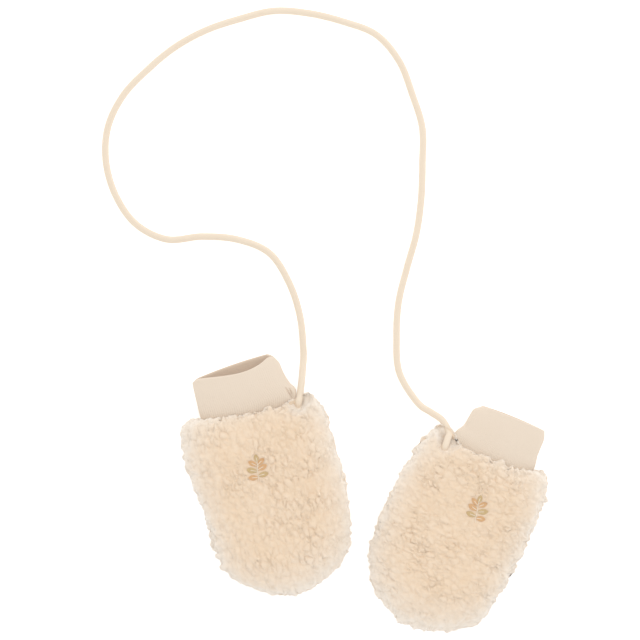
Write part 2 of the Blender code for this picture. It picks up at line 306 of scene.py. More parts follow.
def swept(wire, line, circle, radius):
    """A closed tube along a line."""
    return wire.node(
        "GeometryNodeCurveToMesh", {},
        {"Curve": line, "Profile Curve": circle, "Scale": radius, "Fill Caps": True},
    )


def smoothed(wire, geometry):
    return wire.node("GeometryNodeSetShadeSmooth", {}, {"Geometry": geometry})


def finished(wire, geometry):
    """The end of every tree: real geometry, with the piece's material on it."""
    whole = wire.node("GeometryNodeRealizeInstances", {}, {"Geometry": geometry})
    return wire.node("GeometryNodeSetMaterial", {}, {"Geometry": whole, "Material": wire.also("Material")})


print("every tree ends in", finished.__name__)

# %% The braid's tree
STRANDS = 8  # in each direction
BRAID_LAY = 0.0128  # one turn of a strand
BRAID_RELIEF = 0.00017
STRAND_ROUNDNESS = 0.6
POINTS_ROUND = 32
POINT_STEP = 0.0004


def braid(inputs):
    """A tube with strands that cross over and under each other."""
    line = kept(inputs, inputs, "down", inputs.node("GeometryNodeSplineParameter", out="Length"))
    circle = circle_of(inputs, inputs.also("Points Round"))
    circle = kept(inputs, circle, "round", inputs.node("GeometryNodeSplineParameter", out="Factor"))
    tube = swept(inputs, line, circle, inputs.also("Radius"))
    turns = known(inputs, "down") / inputs.also("Lay")
    one_way = (known(inputs, "round") + turns) * inputs.also("Strands")
    other_way = (known(inputs, "round") - turns) * inputs.also("Strands")
    first = inputs.maths("SINE", one_way.maths("FRACT", one_way) * math.pi)
    second = inputs.maths("SINE", other_way.maths("FRACT", other_way) * math.pi)
    floors = one_way.maths("FLOOR", one_way) + other_way.maths("FLOOR", other_way)
    over = inputs.maths("FLOORED_MODULO", floors, 2.0)
    upper = over * (second ** STRAND_ROUNDNESS) * (0.5 + first * 0.5)
    lower = (1.0 - over) * (first ** STRAND_ROUNDNESS) * (0.5 + second * 0.5)
    strand = upper + lower
    raised = moved_out(inputs, tube, (strand - 1.0) * inputs.also("Relief"))
    # The strands' height is kept, so that the finish can paint shade in the grooves between them.
    return finished(inputs, smoothed(inputs, kept(inputs, raised, "crest_light", strand)))


braid_tree = tree_of("braid", ("Radius", "Points Round", "Strands", "Lay", "Relief", "Material"), braid)


# %% Nodes that more than one finish uses
def blend(wire, share, low, high):
    """A colour between two, by a share from 0 to 1."""
    sides = [side if isinstance(side, Wire) else (*side, 1.0) for side in (low, high)]
    return wire.node("ShaderNodeMix", {"data_type": "RGBA"}, {0: share, 6: sides[0], 7: sides[1]}, 2)


def mottle(wire, scale, detail=2.0):
    """Soft patches from 0 to 1, this many to a metre."""
    return cloud(wire, wire.node("ShaderNodeTexCoord", out="Object"), scale, detail)


def attribute(wire, name):
    return wire.node("ShaderNodeAttribute", {"attribute_name": name}, out="Fac")


def rough(wire, height, strength, distance):
    """A bump that feeds Normal."""
    return wire.node("ShaderNodeBump", {}, {"Strength": strength, "Distance": distance, "Height": height})


print("a colour between two, patches, a stored value and a bump are ready")

# %% The cord's finish
# CORD_CREAM is also the colour of the painted shade in the grooves between strands.
CORD_CREAM = (0.820, 0.682, 0.532)
CORD_PALE = (0.855, 0.742, 0.605)
CORD_YARN = 1500.0  # fibres to a metre


def paint_cord(wire):
    yarn = mottle(wire, CORD_YARN, 3.0)
    # Patches of colour, and painted shade: the grooves between the strands are darker.
    colour = blend(wire, mottle(wire, 60.0) * 0.5 + attribute(wire, "crest_light") * 0.5, CORD_CREAM, CORD_PALE)
    return {"Base Color": colour, "Normal": rough(wire, yarn, 0.3, 0.0002), "Roughness": 0.80 + yarn * 0.15}


cord_finish = finish("soft_cord", paint_cord, Sheen_Weight=0.4, Sheen_Roughness=0.5, Specular_IOR_Level=0.2)


def drawn_line(name, lines):
    """A curve with one straight-stepped spline through each line of points."""
    curve = bpy.data.curves.new(name, "CURVE")
    curve.dimensions = "3D"
    for places in lines:
        spline = curve.splines.new("POLY")
        spline.points.add(len(places) - 1)
        spline.points.foreach_set("co", np.column_stack([places, np.ones(len(places))]).ravel())
    return curve


cord = grown(
    "soft_cord", drawn_line("cord_route", [evenly(route, round(CORD_LENGTH / POINT_STEP))]), braid_tree,
    {"Radius": CORD_DIAMETER / 2, "Points Round": POINTS_ROUND, "Strands": float(STRANDS), "Lay": BRAID_LAY,
     "Relief": BRAID_RELIEF, "Material": cord_finish},
)
print("cord:", triangles(cord), "triangles")
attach(cord, "root")
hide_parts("cord")

# %% [markdown]
# ## The shape of a mitten
#
# A mitten is drawn in its own frame: "along" runs from the cuff seam to the tip, "across" from the free side to
# the side that the cord is on. One row of numbers gives each cross-section, and a smooth curve through the rows
# gives those between. The same rows cut the solids, so the cloth and the solids agree. Only three numbers of the
# cuffs are up to 1.6 mm wider beside the cord than in the solids, so that no gap shows there.

# %% Sections of the two mittens
# Each row of a body: along, skew, bow, and how far out the free side and the cord's side are.
# Crown and belly of each row: its highest and lowest place over the table, the same for both mittens.
BODY_HEIGHTS = (
    (0.0172, 0.0018), (0.0190, 0.0006), (0.0204, -0.0002), (0.0214, -0.0006), (0.0220, -0.0010),
    (0.0222, -0.0010), (0.0222, -0.0010), (0.0222, -0.0010), (0.0220, -0.0010), (0.0214, -0.0008),
    (0.0200, -0.0004), (0.0176, 0.0008), (0.0142, 0.0036), (0.0100, 0.0100),
)
LEFT_BODY = (
    (-0.0008, 0.0037, 0.0023, 0.0312, 0.0303),
    (-0.0009, 0.0016, 0.0044, 0.0356, 0.0362),
    (0.0028, 0.0014, 0.0038, 0.0386, 0.0392),
    (0.0090, 0.0012, 0.0028, 0.0403, 0.0414),
    (0.0170, 0.0010, 0.0018, 0.0412, 0.0421),
    (0.0270, 0.0006, 0.0010, 0.0414, 0.0424),
    (0.0390, 0.0002, 0.0004, 0.0406, 0.0420),
    (0.0510, 0.0000, 0.0000, 0.0401, 0.0410),
    (0.0630, 0.0000, 0.0006, 0.0398, 0.0404),
    (0.0740, 0.0000, 0.0025, 0.0392, 0.0380),
    (0.0830, 0.0000, 0.0055, 0.0376, 0.0350),
    (0.0895, 0.0000, 0.0088, 0.0346, 0.0322),
    (0.0935, 0.0000, 0.0107, 0.0306, 0.0294),
    (0.0955, 0.0000, 0.0114, 0.0282, 0.0275),
)
RIGHT_BODY = (
    (0.0010, 0.0023, 0.0031, 0.0262, 0.0288),
    (0.0003, -0.0002, 0.0058, 0.0300, 0.0348),
    (0.0040, -0.0008, 0.0052, 0.0326, 0.0392),
    (0.0098, -0.0004, 0.0040, 0.0340, 0.0416),
    (0.0170, 0.0000, 0.0028, 0.0352, 0.0432),
    (0.0270, 0.0000, 0.0014, 0.0353, 0.0450),
    (0.0390, 0.0000, 0.0004, 0.0353, 0.0460),
    (0.0510, 0.0000, 0.0000, 0.0349, 0.0464),
    (0.0630, 0.0000, 0.0006, 0.0338, 0.0457),
    (0.0740, 0.0002, 0.0027, 0.0326, 0.0440),
    (0.0830, 0.0006, 0.0050, 0.0320, 0.0412),
    (0.0895, 0.0010, 0.0082, 0.0302, 0.0374),
    (0.0935, 0.0014, 0.0112, 0.0280, 0.0344),
    (0.0955, 0.0015, 0.0120, 0.0258, 0.0322),
)
print("widest, in mm:", [round(1000 * max(row[3] + row[4] for row in body), 1) for body in (LEFT_BODY, RIGHT_BODY)])

# %% Rings of the two cuffs, from the seam to the mouth
CUFF_COLUMNS = ("free_along", "free", "cord_along", "cord", "bow", "middle", "rise", "drop", "pulled")
LEFT_CUFF = (
    (-0.0008, 0.0256, 0.0052, 0.0268, 0.0030, 0.0100, 0.0052, 0.0052, 0.0000),
    (-0.0070, 0.0258, -0.0030, 0.0300, 0.0020, 0.0094, 0.0054, 0.0053, 0.0004),
    (-0.0115, 0.0255, -0.0082, 0.0278, 0.0010, 0.0086, 0.0056, 0.0055, 0.0010),
    (-0.0165, 0.0252, -0.0145, 0.0262, 0.0002, 0.0077, 0.0059, 0.0058, 0.0020),
    (-0.0212, 0.0249, -0.0212, 0.0255, -0.0004, 0.0069, 0.0062, 0.0061, 0.0036),
    (-0.0248, 0.0246, -0.0262, 0.0243, -0.0010, 0.0064, 0.0064, 0.0062, 0.0054),
)
RIGHT_CUFF = (
    (0.0028, 0.0226, 0.0040, 0.0262, 0.0046, 0.0100, 0.0052, 0.0052, 0.0000),
    (-0.0040, 0.0222, -0.0028, 0.0262, 0.0030, 0.0092, 0.0052, 0.0052, 0.0000),
    (-0.0085, 0.0214, -0.0078, 0.0236, 0.0016, 0.0082, 0.0052, 0.0052, 0.0000),
    (-0.0135, 0.0213, -0.0134, 0.0228, 0.0006, 0.0072, 0.0052, 0.0052, 0.0000),
    (-0.0188, 0.0212, -0.0182, 0.0220, 0.0000, 0.0062, 0.0052, 0.0052, 0.0002),
    (-0.0226, 0.0198, -0.0214, 0.0186, -0.0008, 0.0054, 0.0052, 0.0052, 0.0004),
)
MITTENS = {
    "left": {"place": (-0.0652, 0.0459), "lean": 17.4, "hand": 1, "outline": LEFT_BODY, "cuff": LEFT_CUFF},
    "right": {"place": (0.0748, 0.0213), "lean": 23.9, "hand": -1, "outline": RIGHT_BODY, "cuff": RIGHT_CUFF},
}
print("the mittens lean outwards by", [mitten["lean"] for mitten in MITTENS.values()], "degrees")

# %% Helpers for the sections
SEAM_HEIGHT = 0.0100
BACK_ROUNDING = 2.6
PALM_ROUNDING = 3.2
CUFF_ROUNDING = 2.3
CUFF_WALL = 0.0020


def rounded(share, exponent):
    """The height of a rounded section, from 1 in its middle to 0 at its ends, where share is -1 and 1."""
    return (1.0 - np.abs(share) ** exponent).clip(0.0) ** (1.0 / exponent)


def shares(count):
    """Shares of the way across, from -1 to 1, which lie closer together towards the sides."""
    return np.sin(np.linspace(-math.pi / 2, math.pi / 2, count))


def across_at(free, cord_side, share):
    """A place across a section, where -1 is its free side and 1 the side of the cord."""
    return (free + cord_side) / 2 * share + (cord_side - free) / 2


def sections(mitten, depth, steps):
    """The columns of the body's sections, with sides, tip and cuff end drawn in by a depth."""
    along, skew, bow, free, cord_side = smooth_rows(mitten["outline"], steps).T[:, :, None]
    crown, belly = smooth_rows(BODY_HEIGHTS, steps).T[:, :, None]
    share = (along - along.min()) / np.ptp(along)
    return along + depth * (1 - 2 * share), skew, bow, free - depth, cord_side - depth, crown, belly


def in_place(mitten, along, across, height):
    """Points of the mitten's own frame, on the table."""
    lean, hand = math.radians(mitten["lean"]), mitten["hand"]
    x = mitten["place"][0] + hand * (along * math.sin(lean) + across * math.cos(lean))
    y = mitten["place"][1] - along * math.cos(lean) + across * math.sin(lean)
    return np.stack(np.broadcast_arrays(x, y, height), axis=-1)


def cuff_line(ring, across):
    """How far along a cuff's ring lies, at a place across it."""
    share = (2 * across + ring["free"] - ring["cord"]) / (ring["free"] + ring["cord"])
    middle = (ring["free_along"] + ring["cord_along"]) / 2
    return middle + (ring["cord_along"] - middle) * share + ring["bow"] * (1 - share**2)


print("left tip at", in_place(MITTENS["left"], LEFT_BODY[-1][0], 0.0, SEAM_HEIGHT).round(4))

# %% [markdown]
# ## Sherpa: the backing cloth
#
# Sherpa is a knitted backing with its pile standing on one face. Each mitten takes two pieces of it, a back and a
# palm, sewn together round the sides and the tip. The backing here is one smooth sheet on a grid of sections, a
# pile's depth inside the solid's face, and Solidify gives it its thickness. The pile comes after, as its own piece.

# %% The backing's grid
PILE_DEPTH = 0.0024  # from the solid's face down to the backing
PILE_PRESSED = 0.0012  # the same under the palm, which carries the mitten's weight
BACKING_COLUMNS = 30
BACKING_STEPS = 3  # from one section to the next
BACK_SHARE = 0.80  # how much of the section's height over the seam the backing keeps
PALM_SHARE = 0.86
OFF_CUFF = 0.0003  # from the cuff out to the cloth that is sewn round it
ON_BODY = 0.0008  # from the cuff's end on towards the tip


def seam_row(mitten, share, side, past=0.0):
    """Where the cloth is sewn round the cuff, or a place past it on the cuff."""
    base = dict(zip(CUFF_COLUMNS, mitten["cuff"][0]))
    across = across_at(base["free"] + OFF_CUFF, base["cord"] + OFF_CUFF, share)
    height = SEAM_HEIGHT + side * (base["rise"] + OFF_CUFF) * rounded(share, CUFF_ROUNDING)
    return in_place(mitten, cuff_line(base, across) + ON_BODY - past, across, height)


def backing_grid(mitten, upper):
    share = shares(BACKING_COLUMNS + 1)
    along, skew, bow, free, cord_side, crown, belly = sections(mitten, PILE_DEPTH, BACKING_STEPS)
    crown = SEAM_HEIGHT + (crown - SEAM_HEIGHT) * BACK_SHARE
    belly = SEAM_HEIGHT + (belly - SEAM_HEIGHT) * PALM_SHARE
    across = across_at(free, cord_side, share)
    along = along + skew * share + bow * (1 - share**2)
    if upper:
        height = SEAM_HEIGHT + (crown - SEAM_HEIGHT) * rounded(share, BACK_ROUNDING)
    else:
        height = SEAM_HEIGHT + (belly - SEAM_HEIGHT) * rounded(share, PALM_ROUNDING)
        height = height.clip(PILE_PRESSED)
    cloth = in_place(mitten, along, across, height)
    return np.concatenate([seam_row(mitten, share, 1 if upper else -1)[None], cloth])


print("points in a backing:", backing_grid(MITTENS["left"], True).shape[:2])


# %% A sheet through a grid of points
def quads_of(corners):
    """The faces of a grid of point numbers."""
    return np.stack([corners[:-1, :-1], corners[:-1, 1:], corners[1:, 1:], corners[1:, :-1]], -1).reshape(-1, 4)


def sheet_mesh(name, grid, up):
    """A mesh through a grid of points, with its faces turned up or down."""
    quads = quads_of(np.arange(grid.shape[0] * grid.shape[1]).reshape(grid.shape[:2]))
    first = grid.reshape(-1, 3)[quads]
    facing = np.cross(first[:, 2] - first[:, 0], first[:, 3] - first[:, 1])[:, 2].sum()
    if (facing > 0) != up:
        quads = quads[:, ::-1]
    mesh = mesh_of(name, grid, quads.tolist())
    mesh.shade_smooth()
    mesh.update()
    return mesh


print("faces in a grid of 3 x 3 points:", len(quads_of(np.arange(9).reshape(3, 3))))

# %% [markdown]
# ## Sherpa: the pile
#
# The pile of sherpa is spun and tumbled until its fibres felt into small curls. Each curl is a soft pillow, and
# between them run short dark creases. Thousands of separate curls look like beads or pasta, and particle hair
# would be far too heavy for an asset, so the pile is one closed body here. Its face is a fine grid that Geometry
# Nodes raise into pillows and creases, and a second tree sets loose fibres on it. Its hidden underside is coarse.
#
# The edge of such a cloth is never straight: its locks stand out unevenly along the sides and hang over the cuff's
# seam. That unevenness is given to the grid itself, so that the back and the palm still meet all round.

# %% Locks along the edges
LOCK_SIZE = 0.0030
LOCK_RISE = 0.0014
OVERHANG = 0.0009  # how far the locks hang over the cuff's seam
OVERHANG_REACH = 0.0120
# Locks beside the cord: how far they hang over more than the others, where across the mitten, and how wide.
CORNER_LOCKS = {
    "left": ((0.0012, 0.0310, 0.0050),), "right": ((0.0038, 0.0272, 0.0040), (-0.0028, 0.0348, 0.0042)),
}


LOCK_FOLD = (2.4, 0.08, 0.6)  # a lock's height, how soft the notch beside it is, and what levels the two
SMALL_LOCKS = (0.5, 2.3, 9.5)  # their height, how many times finer they are, and a seed of their own
LARGE_LOCKS = (0.9, 0.36, 5.5)


def ragged(places, seed, heights=0.0):
    """Uneven steps along a line and up a side, from about -1 to 1, of the size of a lock."""
    def wave(place, height, times=1.0, more=0.0):
        return noise.noise(Vector((times * place, seed + more, times * height)))

    places, heights = np.broadcast_arrays(places, heights)
    steps = [
        LOCK_FOLD[0] * math.hypot(LOCK_FOLD[1], wave(place, height)) - LOCK_FOLD[2]
        + SMALL_LOCKS[0] * wave(place, height, *SMALL_LOCKS[1:])
        + LARGE_LOCKS[0] * wave(place, height, *LARGE_LOCKS[1:])
        for place, height in zip(np.ravel(places) / LOCK_SIZE, np.ravel(heights) / LOCK_SIZE)
    ]
    return np.array(steps).reshape(places.shape)


print("locks at 0, 2 and 4 mm:", ragged([0.0, 0.002, 0.004], 1).round(2))

# %% The pile's grid
PILE_STEPS = {"back": 0.00046, "palm": 0.00075}  # between two points of a face
UNDERSIDE_RATIO = 8  # the pile's hidden face has one point for so many of the face's
PILE_SET_BACK = 0.0003  # the pillows rise from a little inside the solid's face
TIP_LOCKS_FROM = 0.080
SIDE_LOCKS = 7  # the locks of the sides fade as this power of the way out from the middle
DRAFT_POINTS = 241  # across each section, before the points are spread evenly
DRAFT_STEPS = 10  # from one section to the next
SEAM_STEPS = 12  # from the cuff's seam to the first section
SEAM_FOLLOWS = 0.8  # how much of the overhang the sewn edge takes


def whole_steps(line, step):
    """How many steps go on a line, as a whole number of the underside's coarse ones."""
    return round(lengths(line)[-1] / step / UNDERSIDE_RATIO) * UNDERSIDE_RATIO


def face_grid(side, upper, step):
    """The pile's face as an even grid of points."""
    mitten = MITTENS[side]
    share = shares(DRAFT_POINTS)
    along, skew, bow, free, cord_side, crown, belly = sections(mitten, PILE_SET_BACK, DRAFT_STEPS)
    across = across_at(free, cord_side, share)
    if upper:
        height = SEAM_HEIGHT + (crown - PILE_SET_BACK - SEAM_HEIGHT).clip(0.0) * rounded(share, BACK_ROUNDING)
        height[-1] = SEAM_HEIGHT
    else:
        height = SEAM_HEIGHT + (belly - SEAM_HEIGHT) * rounded(share, PALM_ROUNDING)
        height = height.clip(0.0)
    for edge, near_side in ((free, share < 0), (cord_side, share > 0)):
        onward = lengths(np.hstack([along, edge]))[:, None]
        locks = LOCK_RISE * ragged(onward, 4.0 + near_side[0] + mitten["lean"], height)
        if not upper:  # the palm stays behind the back's locks
            locks = np.minimum(locks, locks[:, :1] if near_side[0] else locks[:, -1:])
        across = across + locks * near_side * share * np.abs(share) ** SIDE_LOCKS
    near_tip = ((along - TIP_LOCKS_FROM) / (along[-1] - TIP_LOCKS_FROM)).clip(0.0, 1.0)
    near_cuff = (1 - (along - along[0]) / OVERHANG_REACH).clip(0.0, 1.0)
    along = along + skew * share + bow * (1 - share**2)
    along = along + near_tip**2 * LOCK_RISE * ragged(across[-1], 3.5 + mitten["lean"])
    hanging = OVERHANG + LOCK_RISE * ragged(across[0], 7.5 + mitten["lean"])
    for reach, middle, width in CORNER_LOCKS[side]:
        hanging = hanging + reach * np.exp(-(((across[0] - middle) / width) ** 2))
    along = along - near_cuff * hanging
    face = in_place(mitten, along, across, height)
    first = seam_row(mitten, share, 1 if upper else -1, SEAM_FOLLOWS * hanging.clip(0.0))
    steps = np.linspace(0, 1, SEAM_STEPS)[:-1, None, None]
    face = np.concatenate([first + (face[0] - first) * steps, face])
    columns = whole_steps(face[len(face) // 2], step)
    rows = whole_steps(face[:, DRAFT_POINTS // 2], step)
    face = np.stack([evenly(row, columns + 1) for row in face])
    return np.stack([evenly(column, rows + 1) for column in face.transpose(1, 0, 2)]).transpose(1, 0, 2)


print("the grid is drafted on", DRAFT_POINTS, "points across")


# %% The four faces
def outward(grid, upper):
    """Unit vectors out of a grid of points."""
    facing = np.cross(np.gradient(grid, axis=0), np.gradient(grid, axis=1))
    facing /= np.linalg.norm(facing, axis=-1, keepdims=True)
    return facing if (facing[..., 2].sum() > 0) == upper else -facing


faces = {
    (side, panel): face_grid(side, panel == "back", step) for side in MITTENS for panel, step in PILE_STEPS.items()
}
print("points in the faces:", {" ".join(name): face.shape[:2] for name, face in faces.items()})

# %% How much the pile stands
EDGE_LINES = 4  # lines of the grid over which the relief fades at an edge
EDGE_RELIEF = 0.5  # what is left of it on the side seam
RESTS_BELOW = 0.0040  # the palm's curls are pressed flat under this height
PRESSED_RELIEF = 0.12  # what is left of them on the table
# The rim band: there the pile is flatter, carries more loose fibres and takes a painted highlight.
RIM_BAND = (0.0045, 0.0108)  # from the seam's height: all pale, and not pale any more
# The bed of the cord, in diameters: how wide it is, how deep the cord sinks, and how steep its sides are.
BED_REACH, BED_SINK, BED_RISE = 2.5, 0.2, 0.45


def relief_share(face, upper):
    """How much of the relief each point takes: none at the cuff, some on the side seam, little underneath."""
    rows, columns = face.shape[:2]
    row, column = np.arange(rows)[:, None], np.arange(columns)
    nearest = np.minimum(rows - 1 - row, np.minimum(column, columns - 1 - column))
    share = EDGE_RELIEF + (1 - EDGE_RELIEF) * (nearest / EDGE_LINES).clip(0.0, 1.0)
    share = share * (row / EDGE_LINES).clip(0.0, 1.0)
    return share if upper else share * (face[..., 2] / RESTS_BELOW).clip(PRESSED_RELIEF, 1.0)


def rim_share(face):
    """1 on the mitten's sides, where the pile takes a painted highlight, and 0 on its back and palm."""
    return ((RIM_BAND[1] - np.abs(face[..., 2] - SEAM_HEIGHT)) / (RIM_BAND[1] - RIM_BAND[0])).clip(0.0, 1.0)


def under_cord(grid, line, below):
    """A grid of points, pressed down where the cord lies on the pile, to a bed this far below it."""
    flat = grid.reshape(-1, 3).copy()
    for x, y, z in line:
        reach = np.hypot(flat[:, 0] - x, flat[:, 1] - y) / CORD_DIAMETER
        bed = np.where(reach < BED_REACH, z + CORD_DIAMETER * (BED_RISE * reach**2 - BED_SINK) - below, np.inf)
        flat[:, 2] = np.minimum(flat[:, 2], np.maximum(bed, SEAM_HEIGHT - below / 2))
    return flat.reshape(grid.shape)


def away_from(face, places, soft):
    """0 within the half width of any (x, y, half width) place, rising to 1 at soft metres from them all."""
    flat = face[..., :2].reshape(-1, 2)
    nearest = np.full(len(flat), soft)
    for x, y, half in places:
        nearest = np.minimum(nearest, np.hypot(flat[:, 0] - x, flat[:, 1] - y) - half)
    share = (nearest / soft).clip(0.0, 1.0).reshape(face.shape[:2])
    return share * share * (3 - 2 * share)


for name, face in faces.items():
    print(" ".join(name), "keeps", relief_share(face, name[1] == "back").mean().round(2), "of its relief")

# %% The pile's body
UNDERSIDE_DEPTH = 0.0004
RELIEF_DEPTH = 0.0011


def pile_mesh(name, face, rise, upper):
    """A closed body: the fine face, a coarse hidden underside, and a rim of fans between the two."""
    ratio = UNDERSIDE_RATIO
    depth = UNDERSIDE_DEPTH + RELIEF_DEPTH * rise[::ratio, ::ratio, None]
    under = face[::ratio, ::ratio] - outward(face, upper)[::ratio, ::ratio] * depth
    rows, columns = face.shape[:2]
    fine = np.arange(rows * columns).reshape(rows, columns)
    coarse = rows * columns + np.arange(under.shape[0] * under.shape[1]).reshape(under.shape[:2])
    quads, fans = [], []
    for grid, turn in ((fine, 1), (coarse, -1)):
        quads += quads_of(grid)[:, ::turn].tolist()
    borders = (
        (fine[0, ::-1], coarse[0, ::-1]), (fine[-1], coarse[-1]), (fine[:, 0], coarse[:, 0]),
        (fine[::-1, -1], coarse[::-1, -1]),
    )
    for near, far in borders:
        for index, (start, end) in enumerate(zip(far, far[1:])):
            edge = near[index * ratio:(index + 1) * ratio + 1]
            half = ratio // 2
            fans += [(a, b, start) for a, b in zip(edge[:half], edge[1:half + 1])]
            fans += [(a, b, end) for a, b in zip(edge[half:], edge[half + 1:])]
            fans.append((edge[half], end, start))
    mesh = mesh_of(name, np.vstack([face.reshape(-1, 3), under.reshape(-1, 3)]), quads + np.array(fans).tolist())
    turned_out(mesh)
    for label, values in (("rise", rise), ("edge", rim_share(face))):
        mesh.attributes.new(label, "FLOAT", "POINT").data.foreach_set(
            "value", np.concatenate([values.ravel(), np.zeros(coarse.size)])
        )
    return mesh


def turned_out(mesh):
    """Turns a closed mesh's faces outwards and shades it smooth."""
    shape = bmesh.new()
    shape.from_mesh(mesh)
    bmesh.ops.recalc_face_normals(shape, faces=shape.faces)
    if shape.calc_volume(signed=True) < 0:
        bmesh.ops.reverse_faces(shape, faces=shape.faces)
    print(mesh.name, "open edges:", sum(not edge.is_manifold for edge in shape.edges))
    shape.to_mesh(mesh)
    shape.free()
    mesh.shade_smooth()


print("one point of the hidden underside to", UNDERSIDE_RATIO**2, "of the face")

# %% The tree that raises the curls
SWIRLS = (1.1, 2.0)  # scale and detail of the noise that bends the curls, where 1 is a curl
WOOLLINESS = (3.5, 2.0)  # and of the fine wool on them
DASHES = (0.42, 0.62, 0.1, 1.0)  # creases come and go: the noise's range, and the creases' depth over it
PATCHES = (0.40, 0.60, 0.40, 1.0)  # and the pile is flatter in patches, in the same way
PATCHES_IN_METRE = 55.0
CREASE_SHARPNESS = 60.0
PILLOW_SLOPE = 5.0
RIM_FLATTER, RIM_LUMPIER = 0.6, 0.2


def between(wire, value, low, high, least, most):
    return wire.node(
        "ShaderNodeMapRange", {},
        {"Value": value, "From Min": low, "From Max": high, "To Min": least, "To Max": most},
    )


def relief(inputs):
    """Pillows of felted curls with creases between them, drawn out the way that the pile lies."""
    place = inputs.node("GeometryNodeInputPosition")
    turned = inputs.node(
        "ShaderNodeVectorRotate", {"rotation_type": "Z_AXIS"}, {"Vector": place, "Angle": inputs.also("Lie")}
    )
    fine = 1.0 / inputs.also("Curl Size")
    sizes = inputs.node("ShaderNodeCombineXYZ", {}, {0: fine / inputs.also("Stretch"), 1: fine, 2: fine})
    scaled = vectors(inputs, "MULTIPLY", turned, sizes)
    warp = vectors(inputs, "SUBTRACT", cloud(inputs, scaled, *SWIRLS, "Color"), (0.5, 0.5, 0.5))
    warped = vectors(inputs, "ADD", scaled, vectors(inputs, "SCALE", warp, inputs.also("Swirl")))
    edge = inputs.node("ShaderNodeTexVoronoi", {"feature": "DISTANCE_TO_EDGE"}, {"Vector": warped, "Scale": 1.0})
    dashes = between(inputs, cloud(inputs, scaled, 0.9), *DASHES)
    patches = between(inputs, cloud(inputs, place, PATCHES_IN_METRE, 1.0), *PATCHES)
    crease = inputs.maths("EXPONENT", (edge * edge) * -CREASE_SHARPNESS) * dashes
    pillow = 1.0 - inputs.maths("EXPONENT", edge * -PILLOW_SLOPE)
    lumps = cloud(inputs, vectors(inputs, "SCALE", place, fine), 0.5, 1.0) - 0.5
    wool = cloud(inputs, scaled, *WOOLLINESS) - 0.5
    rim = known(inputs, "edge")
    height = (
        (pillow * inputs.also("Pillow") - crease * inputs.also("Crease")) * patches * (1.0 - rim * RIM_FLATTER)
        + lumps * inputs.also("Lumps") * (1.0 + rim * RIM_LUMPIER) + wool * inputs.also("Wool")
    )
    raised = moved_out(inputs, inputs, height * known(inputs, "rise"))
    # The pillows' height is kept, so that the finish can paint shade in the creases between them.
    return finished(inputs, kept(inputs, raised, "crest_light", pillow))


relief_tree = tree_of(
    "sherpa_relief", ("Curl Size", "Stretch", "Lie", "Swirl", "Pillow", "Crease", "Lumps", "Wool", "Material"), relief
)


# %% Fibres set at random
FIBRE_SIZES = (0.6, 1.3)  # times the length and the width


def chance(wire, low, high, seed):
    return wire.node("FunctionNodeRandomValue", {"data_type": "FLOAT"}, {2: low, 3: high, "Seed": seed}, 1)


def turned_by(wire, rotation, axis, angle):
    by = wire.node("FunctionNodeAxisAngleToRotation", {}, {"Axis": axis, "Angle": angle})
    return wire.node(
        "FunctionNodeRotateRotation", {"rotation_space": "LOCAL"}, {"Rotation": rotation, "Rotate By": by}
    )


def scattered(wire, fibre, density, lean, seed):
    """Copies of a fibre on the pile's face, each turned at random and leaning between two angles."""
    points = wire.node(
        "GeometryNodeDistributePointsOnFaces", {"distribute_method": "RANDOM"},
        {"Mesh": wire, "Density": density * known(wire, "rise"), "Seed": wire.also("Seed")},
    )
    rotation = turned_by(wire, points.also("Rotation"), (0.0, 0.0, 1.0), chance(wire, -math.pi, math.pi, seed))
    rotation = turned_by(wire, rotation, (1.0, 0.0, 0.0), chance(wire, *lean, seed + 1))
    return wire.node(
        "GeometryNodeInstanceOnPoints", {},
        {"Points": points, "Instance": fibre, "Rotation": rotation, "Scale": chance(wire, *FIBRE_SIZES, seed + 2)},
    )


print("fibres from", FIBRE_SIZES[0], "to", FIBRE_SIZES[1], "times their size")

# %% The tree that grows nap and fibres
NAP_LEAN = (0.8, 1.5)  # away from upright, in radians, between these two
FIBRE_LEAN = (0.1, 1.2)
FIBRE_BEND = 0.5  # the height at which a fibre bends, in lengths
FIBRE_TIP = (0.45, 0.75)  # how far aside and how high it ends
FIBRE_TAPER = 0.8
FIBRES_INWARD, MORE_ON_RIM = 0.35, 1.3


def fuzz(inputs):
    """A short nap that hugs the curls, and longer bent fibres that stand off them, most along the edges."""
    width, edge = inputs.also("Width"), known(inputs, "edge")
    nap = inputs.node(
        "GeometryNodeMeshCone", {},
        {"Vertices": 3, "Radius Top": 0.0, "Radius Bottom": width, "Depth": inputs.also("Nap Length")},
    )
    length = inputs.also("Fibre Length")
    bend = inputs.node("ShaderNodeCombineXYZ", {}, {2: length * FIBRE_BEND})
    tip = inputs.node("ShaderNodeCombineXYZ", {}, {0: length * FIBRE_TIP[0], 2: length * FIBRE_TIP[1]})
    bent = inputs.node(
        "GeometryNodeCurveQuadraticBezier", {}, {"Resolution": 2, "Start": (0.0, 0.0, 0.0), "Middle": bend, "End": tip}
    )
    taper = 1.0 - inputs.node("GeometryNodeSplineParameter", out="Factor") * FIBRE_TAPER
    fibre = swept(inputs, bent, circle_of(inputs, 3), taper * width)
    both = inputs.node("GeometryNodeJoinGeometry", {}, {0: scattered(inputs, nap, inputs.also("Nap"), NAP_LEAN, 3)})
    density = inputs.also("Fibres") * (FIBRES_INWARD + edge * MORE_ON_RIM)
    loose = scattered(inputs, fibre, density, FIBRE_LEAN, 7)
    inputs.tree.links.new(loose.socket, both.socket.node.inputs[0])
    return finished(inputs, both)


fuzz_tree = tree_of(
    "sherpa_fuzz", ("Nap", "Nap Length", "Fibres", "Fibre Length", "Width", "Seed", "Material"), fuzz
)

# %% The sherpa's finish
# SHERPA_WARM is also the colour of the painted shade in the creases.
SHERPA_WARM = (0.820, 0.618, 0.420)
SHERPA_PALE = (0.880, 0.725, 0.565)
# The colour of a painted highlight on the mitten's sides, where the fibres catch the light.
SHERPA_RIM_HIGHLIGHT = (0.875, 0.780, 0.670)


